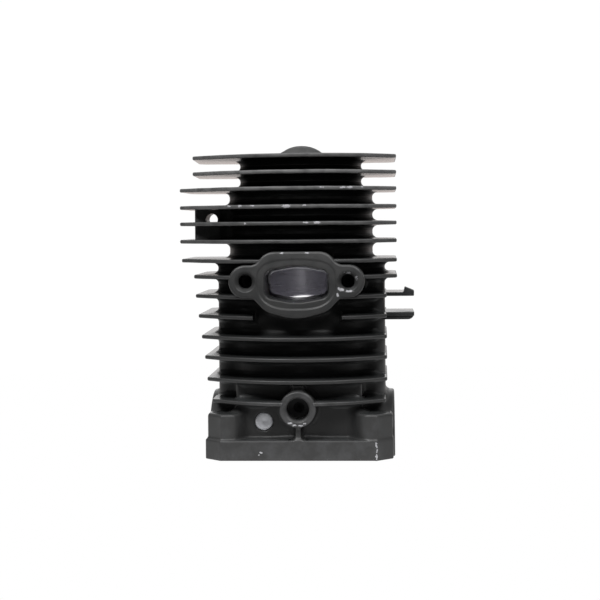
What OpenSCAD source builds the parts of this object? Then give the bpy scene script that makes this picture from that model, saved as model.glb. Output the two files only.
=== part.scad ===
// Finned barrel of a small air-cooled two-stroke engine, with its head cast in one piece.
// Z is the bore axis. The origin is on that axis in the crankcase joint face, so the crank
// axis is the X axis. The exhaust side faces -Y and the intake side +Y. Millimetres.

/* [Bore and ports] */
// Bore diameter
bore_d = 38; // [37.5:0.5:39]
// Thickness of the hard bore lining
lining_t = 0.8; // [0.5:0.1:1]
// Height of the lower end of the bore
bore_bottom_z = 19.4; // [19:0.1:20]
// Height of the top of the bore, where the chamber starts
bore_top_z = 80; // [79:0.5:82]
// Height of the crown of the combustion chamber
chamber_top_z = 88; // [86:0.5:89]
// Height of the lower edge of the exhaust window
exhaust_low_z = 50.8; // [50:0.1:51.5]
// Height of the upper edge of the exhaust window
exhaust_high_z = 59.8; // [59:0.1:60.5]
// Width of the exhaust window
exhaust_w = 17.8; // [16:0.1:18]
// Height of the lower edge of the intake window
intake_low_z = 41; // [40:0.1:42]
// Height of the upper edge of the intake window
intake_high_z = 50; // [49:0.1:50.5]
// Width of the intake window
intake_w = 18; // [16:0.1:19]
// Height of the lower edge of the transfer ports
transfer_low_z = 51; // [50.5:0.1:52]
// Height of the upper edge of the transfer ports
transfer_high_z = 57; // [56:0.1:58]

/* [Fins] */
// Thickness of a fin
fin_t = 1.2; // [1:0.1:1.4]
// Radius of the bowed front edge
front_bow_r = 39.8; // [39:0.1:42]
// How far the front edge stands from the bore axis at its middle
front_reach = 31.5; // [31:0.1:32]
// How far the rear edge stands from the bore axis at its middle
rear_reach = 31; // [30:0.5:32]
// Depth of the straight rear shoulders
rear_shoulder_y = 23.5; // [22:0.5:25]

/* [Barrel] */
// Outer radius around the head
head_r = 20; // [19.5:0.1:21]
// Outer radius of the upper barrel
upper_r = 23.6; // [23.2:0.1:24]
// Outer radius of the lower barrel
lower_r = 23.8; // [23.4:0.1:24.2]
// Reach of the left transfer duct
duct_left = 26.9; // [26.6:0.1:27]
// Reach of the right transfer duct
duct_right = 27.5; // [27:0.1:28]
// Half the depth of a transfer duct's outer wall
duct_half_y = 12; // [11:0.5:13]

/* [Exhaust and intake flanges] */
// Distance between the two screws of a flange
flange_pitch = 32; // [31:0.5:33]
// Height of the exhaust screws
exhaust_screw_z = 56.1; // [55.5:0.1:57]
// How far the exhaust face stands from the bore axis
exhaust_face_y = 32.5; // [32:0.1:33]
// Height of the intake screws
intake_screw_z = 45.5; // [45:0.1:46]
// How far the intake face stands from the bore axis
intake_face_y = 33; // [32.5:0.1:34]
// Radius of the flange ears
ear_r = 5.15; // [4.8:0.05:5.3]
// Diameter of the M5 screw holes at the middle of the thread
m5_d = 4.5; // [4.2:0.1:4.8]
// Depth of the flange screw holes
flange_hole_depth = 12; // [8:1:12]
// Diameter of the round intake throat
throat_d = 14; // [13:0.5:15]

/* [Spark plug] */
// Lean of the plug towards the rear, in degrees
plug_lean = 40; // [38:1:42]
// Diameter of the M14 plug hole at the middle of the thread
plug_d = 13.2; // [12.8:0.1:13.4]
// Radius of the machined seat
seat_r = 8.4; // [8.2:0.1:8.8]
// Radius of the boss under the seat
plug_boss_r = 10.2; // [9.8:0.1:10.4]

/* [Crankcase half] */
// Half the width of the joint plate
plate_half_x = 29.6; // [29.5:0.1:30.5]
// Half the depth of the joint plate
plate_half_y = 29.5; // [29:0.1:30]
// Thickness of the joint plate
plate_t = 6.3; // [6:0.1:7]
// Corner chamfer of the joint plate
plate_chamfer = 5.1; // [4.5:0.1:5.5]
// Radius of the crank chamber
crank_r = 22; // [21:0.5:22.5]
// Half the width of the crank chamber
crank_half_w = 13.5; // [13:0.1:14]
// Radius of the main bearing seats
bearing_r = 16; // [15.5:0.5:16.5]
// Outer radius of the bearing housings
housing_r = 19.4; // [19:0.1:19.8]
// Reach of the left bearing housing
housing_left = 29.2; // [29:0.1:29.4]
// Reach of the right bearing housing
housing_right = 30.3; // [30:0.1:31]
// Length of a main bearing seat
bearing_w = 10; // [9:0.5:11]
// Distance between the case screws along the crank
case_pitch_x = 48; // [47:0.5:49]
// Distance between the case screws across the crank
case_pitch_y = 47; // [46:0.5:48]
// Depth of the case screw holes
case_hole_depth = 12; // [10:0.5:12]
// Radius of the bosses round the case screws
case_boss_r = 6; // [5.5:0.1:6.2]
// Height of the tops of those bosses
case_boss_z = 14.4; // [14:0.1:15]

/* [Small fittings] */
// Height of the impulse fitting's axis
impulse_z = 16.2; // [16:0.1:16.6]
// Outer radius of the impulse boss
impulse_boss_r = 5.7; // [5.4:0.1:6]
// Radius of the impulse fitting's hole
impulse_r = 3.5; // [3.2:0.1:3.7]
// How far the impulse boss stands from the bore axis
impulse_face_y = 31; // [30.5:0.1:31.4]
// Radius of the blanking plug
blank_r = 2.9; // [2.6:0.1:3]
// Radius of the cooling-cover screw hole in the bracket web
web_hole_r = 1.95; // [1.6:0.05:2]

/* [Hidden] */
$fn = 96;
eps = 0.01;
far = 80;
bore_r = bore_d / 2;
lining_r = bore_r + lining_t;

// Height of the middle of each fin, from the head down
FIN_Z = [95.5, 90.4, 85.2, 79.5, 74.2, 68.5, 62.3, 57.2, 51, 44.6, 38, 31.5, 24.6, 17.8];
// Reach of each fin to the left at its front corner
FIN_LEFT = [34.6, 34.6, 39.3, 39.3, 39.3, 39.3, 38.7, 34.2, 33.6, 32.6, 31.5, 30.4, 29.6, 27.9];
// Reach of each fin to the right
FIN_RIGHT = [31.4, 31.4, 31.4, 31.4, 31.4, 31.4, 31.4, 31.4, 28, 28, 28, 28, 28, 27.5];
// The two top fins flare by this much towards their rear left corner
top_flare = 2.2;
// Radii of a fin's front and rear corners
front_corner_r = 1.6;
rear_corner_r = 3.5;

// Half width over which the front edge is bowed, where it has turned to 45 degrees
bow_half_x = front_bow_r * sin(45);
// The rear edge bulges over this half width
bulge_half_x = 24;
bulge = rear_reach - rear_shoulder_y;
bulge_r = (bulge_half_x * bulge_half_x + bulge * bulge) / (2 * bulge);

// The two fins that stand out to the right end in a tab of this reach and depth
tab_reach = 36.9;
tab_half_y = 10;
tab_hook = 1.9;
tab_lip = 2.4;

// The part of the barrel that holds the exhaust and intake ports
belt_bottom_z = 40;
belt_top_z = FIN_Z[6] - fin_t / 2;

// Front wall of the crankcase neck, a flat face under the lowest fins
neck_half_x = 19.5;
neck_half_y = 22.5;
neck_top_z = FIN_Z[12] - fin_t / 2;

// Between the bearing seats the tunnel is this much wider all round
tunnel_relief = 1;

// The impulse hole ends in a floor with a thin drilling into the crank chamber
impulse_floor_y = 24;
impulse_drill_r = 1.5;

rib_face_y = 29;
lower_rib_w = 1.7;
upper_rib_w = 3.6;

// Blanking plug: its place, and the floor and mouth of its pocket
blank_x = -11.2;
blank_z = 11.4;
blank_floor_y = 19.2;
blank_face_y = 22.1;

// The fin under the exhaust flange is cut back over this half width
notch_half_x = 14;

// Bracket web between the fourth and sixth fins
web_left = 34.4;
web_hole_x = -28.8;
web_hole_z = 75.6;
web_front_y = -9;
web_rear_y = 3;
// The fifth fin is slotted behind the web, so that a screw can reach the hole from the rear
screw_slot_half_x = 2.6;

// Transfer duct voids
duct_inner_x = 20.8;
duct_outer_x = 24.9;
duct_void_half_y = 6.5;
duct_inlet_z = 28;

// Spark plug seat: centre of the seat circle, and the lengths along the plug axis
seat_y = 10.4;
seat_z = 94.8;
seat_rise = 1.9;
plug_clear_r = 13;
boss_depth = 14;
plug_reach = 10;
relief_depth = 8;

paint = [0.10, 0.10, 0.10];
machined = [0.72, 0.72, 0.73];

// ---------------------------------------------------------------- outlines

function unit(v) = v / norm(v);

// Points that round the corner b, between a and c, to radius r
function corner(a, b, c, r, steps = 6) =
    r == 0 ? [b] :
    let (
        u = unit(a - b),
        v = unit(c - b),
        half = acos(u * v) / 2,
        centre = b + unit(u + v) * r / sin(half),
        p = b + u * r / tan(half) - centre,
        q = b + v * r / tan(half) - centre,
        start = atan2(p.y, p.x),
        turn = atan2(p.x * q.y - p.y * q.x, p * q)
    )
    [for (i = [0:steps]) centre + r * [cos(start + turn * i / steps), sin(start + turn * i / steps)]];

// A closed outline from corners given as [x, y, radius]
function rounded(c) =
    let (n = len(c), at = [for (k = c) [k.x, k.y]])
    [for (i = [0:n - 1]) each corner(at[(i + n - 1) % n], at[i], at[(i + 1) % n], c[i][2])];

// Depth of the front edge of a fin at x: bowed in the middle, then straight at 45 degrees
function front_y(x) =
    abs(x) < bow_half_x
        ? front_bow_r - front_reach - sqrt(front_bow_r * front_bow_r - x * x)
        : front_bow_r - front_reach - bow_half_x + abs(x) - bow_half_x;

// Depth of the rear edge of a fin at x: a bulge between two straight shoulders
function rear_y(x) =
    abs(x) < bulge_half_x
        ? rear_reach - bulge_r + sqrt(bulge_r * bulge_r - x * x)
        : rear_shoulder_y;

// Plan of fin i, anticlockwise from its front left corner
function fin_plan(i) =
    let (
        left = -FIN_LEFT[i],
        right = FIN_RIGHT[i],
        rear_left = left - (i < 2 ? top_flare : 0)
    )
    rounded(concat(
        [[left, front_y(left), front_corner_r]],
        [for (k = [-6:6]) let (x = k * 4) [x, front_y(x), 0]],
        [[right, front_y(right), front_corner_r]],
        [[right, rear_shoulder_y, rear_corner_r]],
        [for (k = [6:-1:-6]) let (x = k * 4) [x, rear_y(x), 0]],
        [[rear_left, rear_shoulder_y, rear_corner_r]]
    ));

// Face of the exhaust flange between its ears, seen from the front
function exhaust_face_plan() =
    let (p = flange_pitch / 2)
    rounded([
        [p, ear_r, 0], [12.8, ear_r, 2.5], [9.4, 9.2, 4], [-9.4, 9.2, 4], [-12.8, ear_r, 2.5],
        [-p, ear_r, 0], [-p, -ear_r, 0], [-13.6, -ear_r, 2], [-9.6, -9.4, 7],
        [0, -12.1, 16], [9.6, -9.4, 7], [13.6, -ear_r, 2], [p, -ear_r, 0]
    ]);

// Face of the intake flange
function intake_face_plan() =
    let (p = flange_pitch / 2, h = 9.5)
    rounded([
        [p, ear_r, 0], [12, ear_r, 3], [8.5, h, 4], [-8.5, h, 4], [-12, ear_r, 3],
        [-p, ear_r, 0], [-p, -ear_r, 0], [-12, -ear_r, 3], [-8.5, -h, 4],
        [8.5, -h, 4], [12, -ear_r, 3], [p, -ear_r, 0]
    ]);

// A port window of width w between heights low and high, with its long sides arched
function window_plan(w, low, high, arch = 1.2) =
    rounded([
        [-w / 2, low + arch, 1.5], [0, low - arch * 0.4, w], [w / 2, low + arch, 1.5],
        [w / 2, high - arch, 1.5], [0, high + arch * 0.4, w], [-w / 2, high - arch, 1.5]
    ]);

// ---------------------------------------------------------------- shared shapes

// An upright outline in X and Z, made solid from y0 to y1
module along_y(y0, y1) {
    translate([0, y1, 0])
        rotate([90, 0, 0])
            linear_extrude(y1 - y0)
                children();
}

module rod_y(x, z, r, y0, y1) {
    translate([x, y1, z])
        rotate([90, 0, 0])
            cylinder(h = y1 - y0, r = r);
}

module rod_x(r, x0, x1) {
    translate([x0, 0, 0])
        rotate([0, 90, 0])
            cylinder(h = x1 - x0, r = r);
}

module both_sides() {
    children();
    mirror([1, 0, 0])
        children();
}

module bored(z0, z1, r) {
    translate([0, 0, z0 - 1])
        cylinder(h = z1 - z0 + 2, r = r);
}

module exhaust_passage() {
    along_y(-exhaust_face_y - 1, 0)
        polygon(window_plan(exhaust_w, exhaust_low_z, exhaust_high_z));
    along_y(-exhaust_face_y - 1, -27.5)
        polygon(window_plan(exhaust_w + 1.4, exhaust_screw_z - 5.9, exhaust_screw_z + 5.4));
}

module intake_passage() {
    along_y(0, 28)
        polygon(window_plan(intake_w, intake_low_z, intake_high_z));
    rod_y(0, intake_screw_z, throat_d / 2, 27, intake_face_y + 1);
}

module exhaust_envelope() {
    translate([0, 0, exhaust_screw_z])
        along_y(-exhaust_face_y, 0)
            polygon(exhaust_face_plan());
    for (x = [-1, 1])
        rod_y(x * flange_pitch / 2, exhaust_screw_z, ear_r, -exhaust_face_y, 0);
}

module intake_envelope() {
    translate([0, 0, intake_screw_z])
        along_y(0, intake_face_y)
            polygon(intake_face_plan());
    for (x = [-1, 1])
        rod_y(x * flange_pitch / 2, intake_screw_z, ear_r, 0, intake_face_y);
}

// The boss round the impulse hole. Fins end at it, so their slot reaches further out than it does.
module impulse_envelope(front = impulse_face_y) {
    rod_y(0, impulse_z, impulse_boss_r, -front, -neck_half_y + 2);
}

module web_envelope() {
    translate([-web_left, web_front_y, FIN_Z[5] + fin_t / 2])
        cube([web_left - 20, web_rear_y - web_front_y, FIN_Z[3] - FIN_Z[5] - fin_t]);
}

// Plan of the wall over both transfer ducts
module duct_plan() {
    polygon(rounded([
        [-duct_left, -duct_half_y, 5], [duct_right, -duct_half_y, 5],
        [duct_right, duct_half_y, 5], [-duct_left, duct_half_y, 5]
    ]));
}

// Outside of the lower barrel with its ducts, and with the flat neck below the lowest fins
module lower_envelope(z0, z1) {
    translate([0, 0, z0])
        cylinder(h = z1 - z0, r = lower_r);
    translate([0, 0, z0])
        linear_extrude(z1 - z0)
            duct_plan();
    neck(z0, min(z1, neck_top_z));
}

module neck(z0, z1) {
    if (z1 > z0)
        translate([-neck_half_x, -neck_half_y, z0])
            cube([2 * neck_half_x, 2 * neck_half_y, z1 - z0]);
}

// Hollow of the two transfer ducts, with their ports into the bore
module transfer_voids() {
    both_sides() {
        translate([duct_inner_x, -duct_void_half_y, bore_bottom_z])
            cube([duct_outer_x - duct_inner_x, 2 * duct_void_half_y,
                transfer_high_z - bore_bottom_z]);
        translate([10, -duct_void_half_y, transfer_low_z])
            cube([duct_outer_x - 10, 2 * duct_void_half_y,
                transfer_high_z - transfer_low_z]);
        translate([10, -duct_void_half_y, bore_bottom_z - 1])
            cube([duct_outer_x - 10, 2 * duct_void_half_y,
                duct_inlet_z - bore_bottom_z + 1]);
    }
}

// Places its children on the plug axis, with the seat circle at z = 0
module on_plug_axis() {
    translate([0, seat_y, seat_z])
        rotate([-plug_lean, 0, 0])
            children();
}

module plug_envelope() {
    on_plug_axis()
        translate([0, 0, -boss_depth - seat_rise])
            cylinder(h = boss_depth, r = plug_boss_r);
}

// Room for the plug and its socket above the seat
module plug_clearance() {
    on_plug_axis()
        translate([0, 0, -seat_rise])
            cylinder(h = far, r = plug_clear_r);
}

module chamber() {
    // A dome over the bore that ends just above the plug tip
    rise = chamber_top_z - bore_top_z;
    dome_r = (bore_r * bore_r + rise * rise) / (2 * rise);
    intersection() {
        translate([0, 0, chamber_top_z - dome_r])
            sphere(r = dome_r);
        translate([0, 0, bore_top_z])
            cylinder(h = rise + 1, r = bore_r);
    }
}

// The plug's thread, opened out where it ends in the chamber
module plug_hole() {
    on_plug_axis()
        translate([0, 0, -plug_reach])
            cylinder(h = plug_reach + 1, r = plug_d / 2);
    on_plug_axis()
        translate([0, 0, -plug_reach - relief_depth])
            cylinder(h = relief_depth + eps, r = plug_d / 2 + 0.9);
}

// ---------------------------------------------------------------- casting regions

module plate_plan(inset = 0) {
    x = plate_half_x - inset;
    y = plate_half_y - inset;
    c = plate_chamfer;
    polygon([
        [-x, -y + c], [-x + c, -y], [x - c, -y], [x, -y + c],
        [x, y - c], [x - c, y], [-x + c, y], [-x, y - c]
    ]);
}

module case_bosses() {
    intersection() {
        translate([0, 0, plate_t])
            linear_extrude(case_boss_z - plate_t)
                plate_plan(0.9);
        for (x = [-1, 1], y = [-1, 1])
            scale([x, y, 1])
                translate([case_pitch_x / 2, case_pitch_y / 2, 0]) {
                    cylinder(h = case_boss_z, r = case_boss_r);
                    translate([0, -case_boss_r, 0])
                        cube([8, 2 * case_boss_r, case_boss_z]);
                }
    }
}

module crankcase_base() {
    color(paint)
        difference() {
            union() {
                linear_extrude(plate_t)
                    plate_plan();
                case_bosses();
                lower_envelope(plate_t, bore_bottom_z);
                intersection() {
                    rod_x(housing_r, -housing_left, housing_right);
                    translate([-far, -far, 0])
                        cube([2 * far, 2 * far, bore_bottom_z]);
                }
            }
            rod_x(crank_r, -crank_half_w, crank_half_w);
            rod_x(bearing_r, -far, far);
            rod_x(bearing_r + tunnel_relief, bearing_w - housing_left, housing_right - bearing_w);
            bored(0, bore_bottom_z, lining_r);
            case_holes();
            fin_slot(13);
            impulse_envelope();
            impulse_drilling();
            blank_pocket();
            impulse_ribs();
        }
}

module case_holes() {
    for (x = [-1, 1], y = [-1, 1])
        translate([x * case_pitch_x / 2, y * case_pitch_y / 2, -1])
            cylinder(h = case_hole_depth + 1, r = m5_d / 2);
}

// Room that fin i takes outside the barrel
module fin_slot(i) {
    difference() {
        translate([0, 0, FIN_Z[i] - fin_t / 2])
            linear_extrude(fin_t)
                polygon(fin_plan(i));
        lower_envelope(plate_t, belt_top_z);
    }
}

module impulse_drilling() {
    rod_y(0, impulse_z, impulse_drill_r, -impulse_floor_y - 1, 0);
}

module blank_pocket() {
    rod_y(blank_x, blank_z, blank_r, -neck_half_y - 1, -blank_floor_y);
}

// A rib stands under the impulse boss, and a thicker one joins it to the lowest fins
module impulse_ribs() {
    translate([-lower_rib_w / 2, -rib_face_y, plate_t])
        cube([lower_rib_w, rib_face_y - neck_half_y, impulse_z - plate_t]);
    translate([-upper_rib_w / 2, -rib_face_y, impulse_z])
        cube([upper_rib_w, rib_face_y - neck_half_y, neck_top_z - impulse_z]);
}

// The barrel between heights z0 and z1, pierced by the ports
module ported_barrel(z0, z1) {
    difference() {
        union() {
            translate([0, 0, z0])
                cylinder(h = z1 - z0, r = lower_r);
            neck(z0, min(z1, neck_top_z));
        }
        bored(z0, z1, lining_r);
        exhaust_passage();
        intake_passage();
        transfer_voids();
        impulse_envelope();
        impulse_ribs();
    }
}

module barrel_skirt() {
    color(paint)
        ported_barrel(bore_bottom_z, belt_bottom_z);
}

module port_belt() {
    color(paint)
        ported_barrel(belt_bottom_z, belt_top_z);
}

module transfer_duct(side) {
    top = belt_top_z;
    color(paint)
        difference() {
            intersection() {
                translate([0, 0, bore_bottom_z])
                    linear_extrude(top - bore_bottom_z)
                        duct_plan();
                translate([side > 0 ? 0 : -far, -far, 0])
                    cube([far, 2 * far, far]);
            }
            bored(bore_bottom_z, top, lower_r);
            neck(bore_bottom_z - 1, neck_top_z);
            transfer_voids();
            exhaust_envelope();
            intake_envelope();
        }
}

module upper_barrel() {
    bottom = belt_top_z;
    top = FIN_Z[2] - fin_t / 2;
    color(paint)
        difference() {
            translate([0, 0, bottom])
                cylinder(h = top - bottom, r = upper_r);
            translate([0, 0, bottom - 1])
                cylinder(h = bore_top_z - bottom + 1, r = lining_r);
            chamber();
            plug_hole();
        }
}

module head() {
    bottom = FIN_Z[2] - fin_t / 2;
    top = FIN_Z[0] + fin_t / 2;
    color(paint)
        difference() {
            translate([0, 0, bottom])
                cylinder(h = top - bottom, r = head_r);
            chamber();
            plug_envelope();
            plug_clearance();
            plug_hole();
        }
}

module spark_plug_boss() {
    color(paint)
        difference() {
            intersection() {
                union() {
                    plug_envelope();
                    on_plug_axis()
                        translate([0, 0, -seat_rise])
                            cylinder(h = seat_rise, r = seat_r);
                }
                translate([-far, -far, FIN_Z[2] - fin_t / 2])
                    cube([2 * far, 2 * far, far]);
            }
            chamber();
            plug_hole();
        }
}

module flange_holes(z, y0, y1) {
    for (x = [-1, 1])
        rod_y(x * flange_pitch / 2, z, m5_d / 2, y0, y1);
}

module exhaust_flange() {
    color(paint)
        difference() {
            exhaust_envelope();
            cylinder(h = far, r = lower_r);
            exhaust_passage();
            flange_holes(exhaust_screw_z, -exhaust_face_y - 1, -exhaust_face_y + flange_hole_depth);
        }
}

module intake_flange() {
    color(paint)
        difference() {
            intake_envelope();
            cylinder(h = far, r = lower_r);
            intake_passage();
            flange_holes(intake_screw_z, intake_face_y - flange_hole_depth, intake_face_y + 1);
        }
}

module impulse_boss() {
    color(paint)
        difference() {
            union() {
                impulse_envelope();
                impulse_ribs();
            }
            rod_y(0, impulse_z, impulse_r, -impulse_face_y - 1, -impulse_floor_y);
            impulse_drilling();
        }
}

module bracket_web() {
    color(paint)
        difference() {
            web_envelope();
            cylinder(h = far, r = upper_r);
            rod_y(web_hole_x, web_hole_z, web_hole_r, web_front_y - 1, web_rear_y + 1);
        }
}

module bore_lining() {
    color(machined)
        difference() {
            translate([0, 0, bore_bottom_z])
                cylinder(h = bore_top_z - bore_bottom_z, r = lining_r);
            bored(bore_bottom_z, bore_top_z, bore_r);
            exhaust_passage();
            intake_passage();
            transfer_voids();
        }
}

module blanking_plug() {
    color(machined)
        rod_y(blank_x, blank_z, blank_r, -blank_face_y, -blank_floor_y);
}

// ---------------------------------------------------------------- fins

// Radius of the barrel that fin i stands on
function core_r(i) = i < 3 ? head_r : i < 7 ? upper_r : lower_r;

module fin(i) {
    z0 = FIN_Z[i] - fin_t / 2;
    color(paint)
        difference() {
            union() {
                translate([0, 0, z0])
                    linear_extrude(fin_t)
                        polygon(fin_plan(i));
                if (i == 8 || i == 9)
                    fin_tab(i, z0);
            }
            if (i < 7)
                bored(z0, z0 + fin_t, core_r(i));
            if (i > 6)
                lower_envelope(z0 - 1, z0 + fin_t + 1);
            if (i < 3) {
                plug_envelope();
                plug_clearance();
            }
            if (i == 4) {
                web_envelope();
                translate([web_hole_x - screw_slot_half_x, web_rear_y - 1, z0 - 1])
                    cube([2 * screw_slot_half_x, far, fin_t + 2]);
            }
            if (i > 5 && i < 10)
                exhaust_envelope();
            if (i > 7 && i < 12)
                intake_envelope();
            if (i == 9)
                translate([-notch_half_x, -far, z0 - 1])
                    cube([2 * notch_half_x, far, fin_t + 2]);
            if (i > 11)
                impulse_envelope(far);
        }
}

// Tab at the right end of fins 9 and 10: the first ends in a hook, the second in a thick lip
module fin_tab(i, z0) {
    translate([FIN_RIGHT[i] - 6, -tab_half_y, z0])
        cube([tab_reach - FIN_RIGHT[i] + 6, 2 * tab_half_y, fin_t]);
    if (i == 8)
        along_y(-tab_half_y, -tab_half_y + 3)
            polygon([
                [tab_reach - 3.4, z0], [tab_reach - 2.6, z0 + fin_t + tab_hook],
                [tab_reach, z0 + fin_t + tab_hook / 3], [tab_reach, z0]
            ]);
    if (i == 9)
        along_y(-tab_half_y, -tab_half_y + 2)
            polygon([
                [FIN_RIGHT[i] - 1, z0 + fin_t], [FIN_RIGHT[i] - 1, z0 + fin_t - tab_lip],
                [tab_reach - 2, z0 + fin_t - tab_lip], [tab_reach, z0 + fin_t - tab_lip + 2],
                [tab_reach, z0 + fin_t]
            ]);
}

crankcase_base();
barrel_skirt();
port_belt();
upper_barrel();
head();
spark_plug_boss();
exhaust_flange();
intake_flange();
impulse_boss();
bracket_web();
transfer_duct(-1);  // transfer_duct_left
transfer_duct(1);  // transfer_duct_right
bore_lining();
blanking_plug();
fin(0);  // fin_01
fin(1);  // fin_02
fin(2);  // fin_03
fin(3);  // fin_04
fin(4);  // fin_05
fin(5);  // fin_06
fin(6);  // fin_07
fin(7);  // fin_08
fin(8);  // fin_09
fin(9);  // fin_10
fin(10);  // fin_11
fin(11);  // fin_12
fin(12);  // fin_13
fin(13);  // fin_14
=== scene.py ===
"""Looks of a bare two-stroke cylinder with its head cast in one piece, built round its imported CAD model.

Shapes are worked out in millimetres in the frame of the CAD model. The casting is one field of signed
distances, negative inside the metal, and each region of it is cut out as its own piece, so that the
fillets run on from one region to the next. The fins are lofted from their outlines.
"""

import math

import bmesh
import bpy
import numpy as np
import openvdb
from mathutils import Matrix, Vector, noise


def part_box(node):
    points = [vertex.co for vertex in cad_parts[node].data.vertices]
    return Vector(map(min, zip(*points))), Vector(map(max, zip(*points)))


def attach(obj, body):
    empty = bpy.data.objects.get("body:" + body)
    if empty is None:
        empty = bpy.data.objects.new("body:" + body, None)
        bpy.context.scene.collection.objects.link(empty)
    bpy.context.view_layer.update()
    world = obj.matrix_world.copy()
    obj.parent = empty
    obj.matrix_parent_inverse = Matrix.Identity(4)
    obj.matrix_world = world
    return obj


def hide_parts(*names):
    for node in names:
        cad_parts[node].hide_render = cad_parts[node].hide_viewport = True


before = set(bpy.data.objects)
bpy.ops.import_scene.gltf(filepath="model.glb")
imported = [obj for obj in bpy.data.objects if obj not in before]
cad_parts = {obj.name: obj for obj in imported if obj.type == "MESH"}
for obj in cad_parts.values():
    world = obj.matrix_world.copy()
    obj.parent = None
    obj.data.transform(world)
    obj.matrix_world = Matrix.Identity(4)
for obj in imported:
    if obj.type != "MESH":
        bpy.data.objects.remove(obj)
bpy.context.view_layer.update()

MM = 0.001  # metres in a millimetre
FAR = 150.0  # further out than any metal
UNDER = -2.0  # solids that stand on the joint face start this low, and are cut off at it


def corners_of(node):
    """Lowest and highest corner of a CAD node, in millimetres."""
    low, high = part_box(node)
    return np.array(low) / MM, np.array(high) / MM


# ---------------------------------------------------------------- dimensions, in millimetres
BORE_R = 19.0
LINING_R = 19.8
BORE_BOTTOM = corners_of("bore_lining")[0][2]
BORE_TOP = corners_of("bore_lining")[1][2]
CHAMBER_TOP = 88.0

FIN_T = 1.2
FIN_COUNT = 14
FRONT_BOW_R = 39.8
FRONT_REACH = 31.5
REAR_REACH = 31.0
REAR_SHOULDER_Y = 23.5
BULGE_HALF_X = 24.0
TOP_FLARE = 2.2

HEAD_R = 20.0
UPPER_R = 23.6
LOWER_R = 23.8
DUCT_LEFT = -corners_of("transfer_duct_left")[0][0]
DUCT_RIGHT = corners_of("transfer_duct_right")[1][0]
DUCT_Y = 12.0
DUCT_CORNER_R = 5.0
DUCT_VOID = (20.8, 24.9, 6.5)  # inner x, outer x and half depth
TRANSFER_Z = (51.0, 57.0)
LOW_PORT_TOP = 28.0
PORT_INNER_X = 10.0
NECK_X = 19.5
NECK_Y = 22.5
NECK_TOP = 23.6

FLANGE_PITCH = 32.0
EAR_R = 5.15
M5_R = 2.25
M5_PITCH = 0.8
SCREW_DEPTH = 12.0
EXHAUST_Z = 56.1
EXHAUST_Y = -corners_of("exhaust_flange")[0][1]
WINDOW_Z = (50.8, 59.8)
WINDOW_W = 17.8
INTAKE_Z = 45.5
INTAKE_Y = corners_of("intake_flange")[1][1]
INTAKE_WINDOW_Z = (41.0, 49.2)
INTAKE_WINDOW_W = 18.0
THROAT_R = 7.0
BEAD_DEPTH = 0.35
BEAD_HALF_X = 12.2
BEAD_UPPER = (6.9, 0.62)  # half height and how square the upper corners are
BEAD_LOWER = (8.6, 0.8)
BEAD_SIDES = 0.72
COLLAR_BOTTOM = 55.0
COLLAR_T = 0.75  # bare metal round the exhaust window
COLLAR_Y = -20.6  # where the painted passage ends at the collar

PLATE_X = -corners_of("crankcase_base")[0][0]
PLATE_Y = 29.5
PLATE_T = 6.3
PLATE_CHAMFER = 5.1
UPPER_INSET = (0.75, 0.1)  # how far the metal over the plate stands back from it, left and right
HOUSING_R = 19.4
HOUSING_X = (-29.2, corners_of("crankcase_base")[1][0])
CRANK_R = 22.0
CRANK_X = 13.5
BEARING_R = 16.0
BEARING_W = 10.0
TUNNEL_RELIEF = 1.0
CASE_X = 24.0
CASE_Y = 23.5
CASE_BOSS_R = 6.0
CASE_BOSS_TOP = 14.4
BOSS_ARM = 5.0

IMPULSE_Z = 16.2
IMPULSE_BOSS_R = 5.7
IMPULSE_FACE_Y = 31.0
IMPULSE_R = 3.5
IMPULSE_FLOOR_Y = 24.0
DRILLING_R = 1.5
RIB_Y = 29.0
RIB_ROOT_Y = 25.0
LOWER_RIB_HALF = 0.85
UPPER_RIB_HALF = 1.8

BLANK_X, BLANK_Z = (sum(c) / 2 for c in zip(*[(c[0], c[2]) for c in corners_of("blanking_plug")]))
BLANK_R = 2.9
BLANK_FLOOR_Y = 19.2
BLANK_FACE_Y = 22.1

WEB_LEFT = 34.4
WEB_ROOT = 20.0
WEB_BITE = 0.3  # how far the web reaches into the fins over and under it
WEB_Y = (-9.0, 3.0)
WEB_HOLE = (-28.8, 75.6, 1.95)  # x, z and radius
SCREW_SLOT_X = 2.6

LEAN = math.radians(40)
SEAT_Y, SEAT_Z = 10.4, 94.8
SEAT_R = 8.4
SEAT_RISE = 1.9
PLUG_BOSS_R = 10.2
PLUG_CLEAR_R = 13.0
PLUG_R = 6.6
PLUG_PITCH = 1.25
PLUG_REACH = 10.0
PLUG_RELIEF = 8.0

TAB_REACH = 36.9
TAB_Y = 10.0
TAB_HOOK = 1.9
TAB_LIP = 2.4
TAB_FIN_REACH = 28.0  # where the two fins with tabs would end without them
NOTCH_X = 14.0

# fins: half thickness at the root and at the edge, radius of the edge, fillet at the root
ROOT_HALF = 0.78
TIP_HALF = FIN_T / 2
TIP_R = 0.42
FILLET = 2.0
WAVE = 0.05  # unevenness of the cast faces

# fillets and rounded edges of the casting
CAST_FILLET = 1.5
NECK_FILLET = 3.5
HOUSING_FILLET = 0.6
PLATE_FILLET = 0.7
DUCT_FILLET = 3.0
HEAD_FILLET = 1.0
SEAT_FILLET = 0.5
PLUG_FILLET = 1.2
PLATE_EDGE = 0.3
BOSS_EDGE = 0.9
HOUSING_EDGE = 0.8
HEAD_EDGE = 0.3
FITTING_EDGE = 0.7

OVERLAP = 0.5  # how far neighbouring regions of the casting reach into each other
SKIRT = 1.6  # how far a region takes in the fillet round its fitting

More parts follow.
